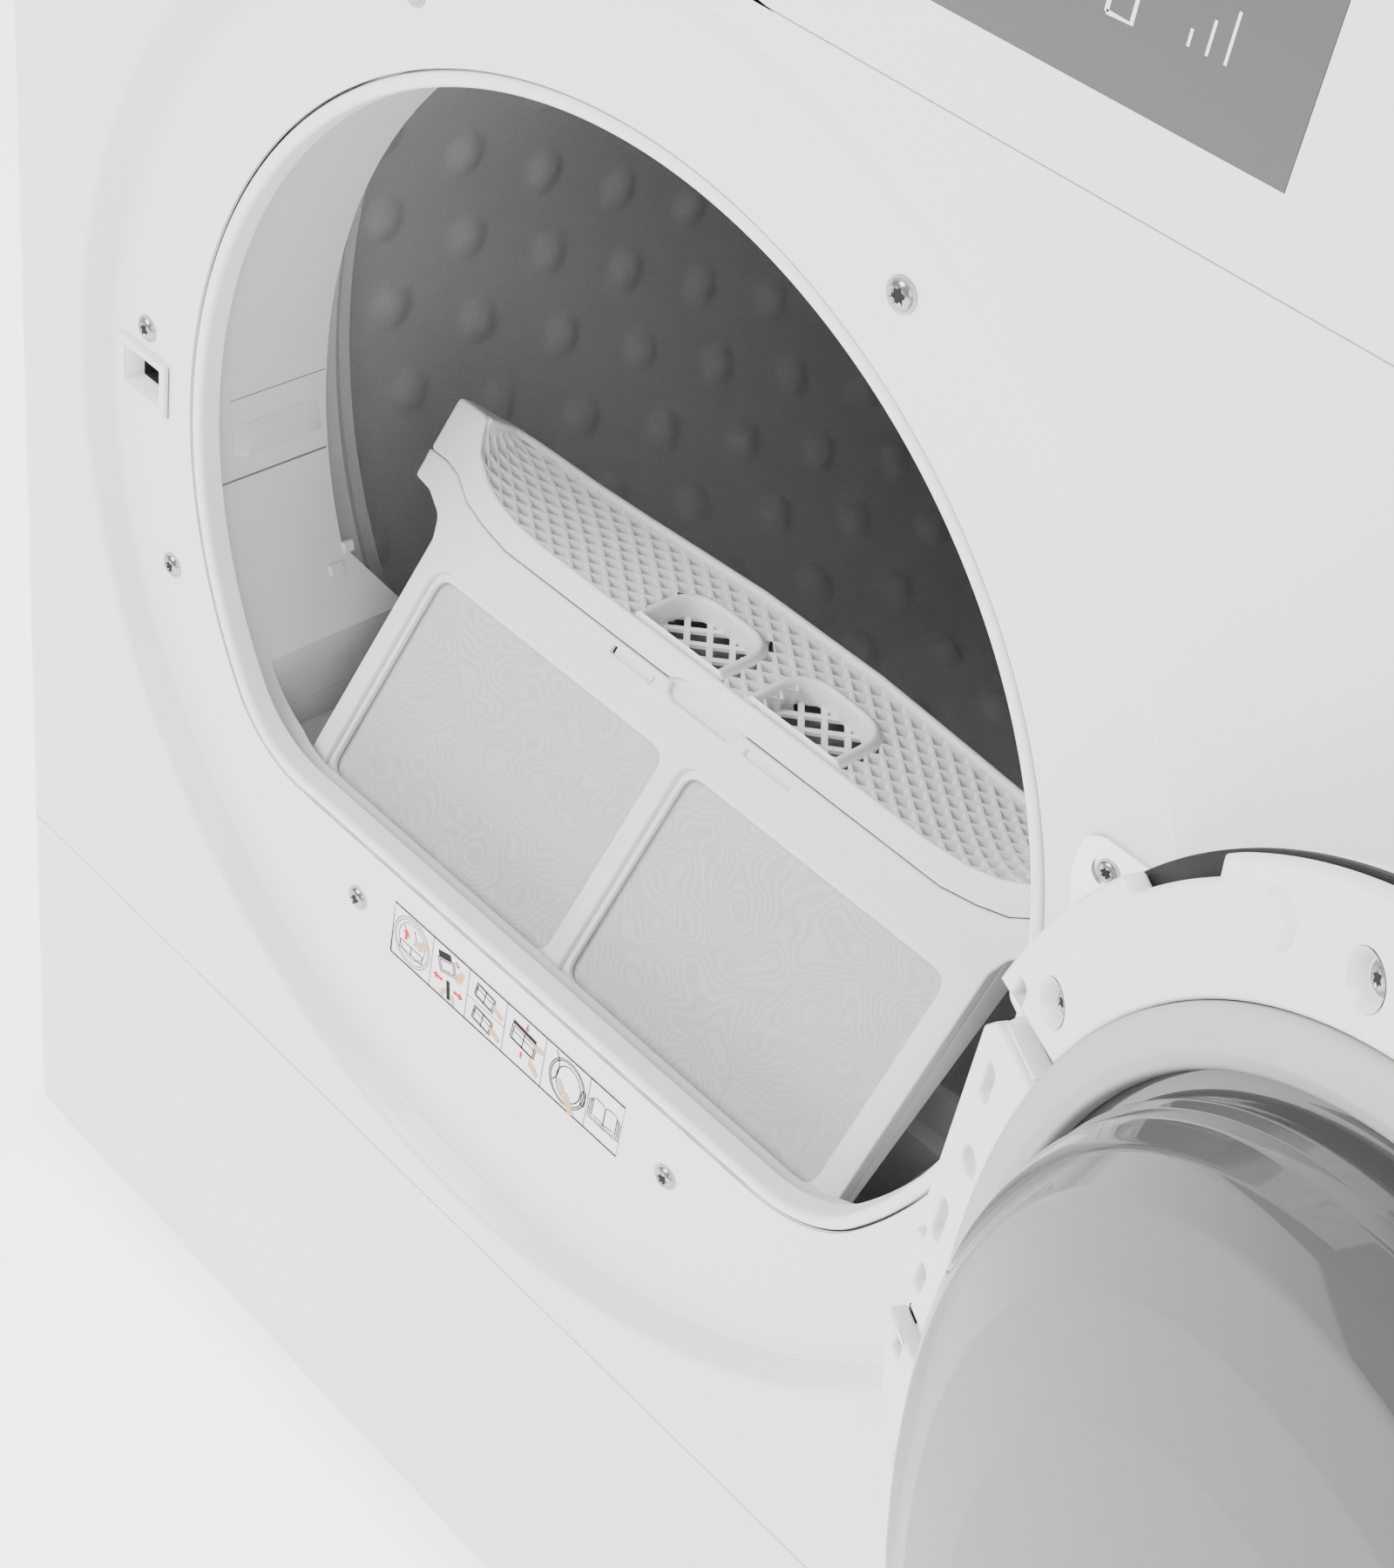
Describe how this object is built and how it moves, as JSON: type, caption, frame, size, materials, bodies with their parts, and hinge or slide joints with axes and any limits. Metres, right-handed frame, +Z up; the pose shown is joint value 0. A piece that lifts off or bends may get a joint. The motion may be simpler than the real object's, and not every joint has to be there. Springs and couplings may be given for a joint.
{
  "type": "clothes dryer",
  "caption": "Front-loading clothes dryer with a round porthole door swung open on its right hinge and a lifted lint filter leaning in the tunnel.",
  "frame": {"origin": "on the floor, midway between the four levelling feet", "axes": "+X to the dryer's right as seen from the front, +Y towards the back, +Z up"},
  "size_m": [0.9253, 0.9, 0.85],
  "materials": {
    "painted_white": "satin enamel",
    "white_plastic": "smooth moulded",
    "tunnel_plastic": "matte moulded",
    "filter_plastic": "matte moulded",
    "filter_screen": "fine woven screen",
    "drum_steel": "dark embossed sheet",
    "lifter_plastic": "matte moulded",
    "dark_trim": "satin moulded",
    "dark_glass": "tinted polished",
    "display_glass": "dark gloss",
    "bowl_glass": "polished clear",
    "gasket_rubber": "beige satin",
    "screw_steel": "bright pan head",
    "bracket_steel": "pressed steel",
    "label_film": "printed film",
    "galvanised": "galvanised sheet",
    "tray_plastic": "dark moulded",
    "felt": "pressed felt",
    "belt_rubber": "ribbed rubber",
    "motor_metal": "die cast",
    "shaft_steel": "ground steel",
    "fan_plastic": "moulded",
    "bearing_bronze": "sintered",
    "compressor_black": "black enamel",
    "fin_aluminium": "thin fins",
    "board_green": "circuit board",
    "inlet_black": "moulded"
  },
  "bodies": {
    "cabinet": {"front_panel": "painted_white", "plinth_panel": "painted_white", "side_panel_left": "painted_white", "side_panel_right": "painted_white", "control_fascia": "white_plastic", "top_panel": "white_plastic", "porthole_trim": "white_plastic", "latch_bezel": "white_plastic", "front_bulkhead": "tunnel_plastic", "filter_duct": "tunnel_plastic", "display_window": "display_glass", "surround_screws": "screw_steel", "hinge_pin": "screw_steel", "hinge_bracket": "bracket_steel", "instruction_label": "label_film", "rear_panel": "galvanised", "rear_bulkhead": "galvanised", "base_tray": "tray_plastic", "heat_exchanger_duct": "tray_plastic", "fan_housing": "tray_plastic", "tank_tray": "tray_plastic", "condensate_pump": "tray_plastic", "door_lock": "tray_plastic", "front_felt_seal": "felt", "drum_belt": "belt_rubber", "motor": "motor_metal", "tension_arm": "motor_metal", "rear_bearing": "bearing_bronze", "compressor": "compressor_black", "evaporator": "fin_aluminium", "condenser": "fin_aluminium", "control_board": "board_green", "mains_inlet": "inlet_black"},
    "drum": {"drum_shell": "drum_steel", "drum_rear_wall": "drum_steel", "drum_lifters": "lifter_plastic"},
    "rotor": {"motor_shaft": "shaft_steel", "fan_impeller": "fan_plastic"},
    "idler": {"belt_idler": "motor_metal"},
    "roller_left": {"support_roller_left": "belt_rubber"},
    "roller_right": {"support_roller_right": "belt_rubber"},
    "door": {"door_frame": "white_plastic", "door_window": "dark_glass", "door_trim": "dark_trim", "door_inner_ring": "white_plastic", "door_screws": "screw_steel", "door_gasket": "gasket_rubber", "door_bowl": "bowl_glass", "latch_hook": "screw_steel"},
    "lint_filter": {"filter_front": "filter_plastic", "filter_rear": "filter_plastic", "filter_meshes": "filter_screen"},
    "tank": {"water_tank": "white_plastic"},
    "knob": {"programme_knob": "white_plastic"},
    "start": {"start_button": "white_plastic"},
    "option": {"option_button": "white_plastic"},
    "foot_fl": {"foot_front_left": "tray_plastic"},
    "foot_fr": {"foot_front_right": "tray_plastic"},
    "foot_rl": {"foot_rear_left": "tray_plastic"},
    "foot_rr": {"foot_rear_right": "tray_plastic"}
  },
  "joints": [
    {"name": "drum_spin", "type": "hinge", "parent": "cabinet", "child": "drum", "pos_m": [0, 0, 0.47], "axis": [0, 1, 0], "continuous": true},
    {"name": "rotor_spin", "type": "hinge", "parent": "cabinet", "child": "rotor", "pos_m": [0.19, 0, 0.108], "axis": [0, 1, 0], "continuous": true},
    {"name": "idler_spin", "type": "hinge", "parent": "cabinet", "child": "idler", "pos_m": [0.12411, 0, 0.10349], "axis": [0, 1, 0], "continuous": true},
    {"name": "roller_left_spin", "type": "hinge", "parent": "cabinet", "child": "roller_left", "pos_m": [-0.16796, 0, 0.26983], "axis": [0, 1, 0], "continuous": true},
    {"name": "roller_right_spin", "type": "hinge", "parent": "cabinet", "child": "roller_right", "pos_m": [0.16796, 0, 0.26983], "axis": [0, 1, 0], "continuous": true},
    {"name": "door_hinge", "type": "hinge", "parent": "cabinet", "child": "door", "pos_m": [0.224, -0.314, 0.47], "axis": [0, 0, 1], "range_deg": [-151, 3]},
    {"name": "filter_lift", "type": "hinge", "parent": "cabinet", "child": "lint_filter", "pos_m": [0, -0.02951, 0.26495], "axis": [-1, 0, 0], "range_deg": [-27.2, 0]},
    {"name": "tank_slide", "type": "slide", "parent": "cabinet", "child": "tank", "axis": [0, -1, 0], "range_m": [0, 0.3]},
    {"name": "knob_turn", "type": "hinge", "parent": "cabinet", "child": "knob", "pos_m": [0, -0.3, 0.774], "axis": [0, 1, 0], "continuous": true},
    {"name": "start_press", "type": "slide", "parent": "cabinet", "child": "start", "axis": [0, 1, 0], "range_m": [0, 0.002], "stiffness_N_per_m": 400},
    {"name": "option_press", "type": "slide", "parent": "cabinet", "child": "option", "axis": [0, 1, 0], "range_m": [0, 0.002], "stiffness_N_per_m": 400},
    {"name": "foot_fl_turn", "type": "hinge", "parent": "cabinet", "child": "foot_fl", "pos_m": [-0.25, -0.25, 0], "axis": [0, 0, 1], "continuous": true},
    {"name": "foot_fr_turn", "type": "hinge", "parent": "cabinet", "child": "foot_fr", "pos_m": [0.25, -0.25, 0], "axis": [0, 0, 1], "continuous": true},
    {"name": "foot_rl_turn", "type": "hinge", "parent": "cabinet", "child": "foot_rl", "pos_m": [-0.25, 0.25, 0], "axis": [0, 0, 1], "continuous": true},
    {"name": "foot_rr_turn", "type": "hinge", "parent": "cabinet", "child": "foot_rr", "pos_m": [0.25, 0.25, 0], "axis": [0, 0, 1], "continuous": true}
  ],
  "couplings": [
    {"joint": "rotor_spin", "follows": "drum_spin", "ratio": 28.1},
    {"joint": "idler_spin", "follows": "drum_spin", "ratio": -18.733},
    {"joint": "roller_left_spin", "follows": "drum_spin", "ratio": -8.3214},
    {"joint": "roller_right_spin", "follows": "drum_spin", "ratio": -8.3214}
  ]
}
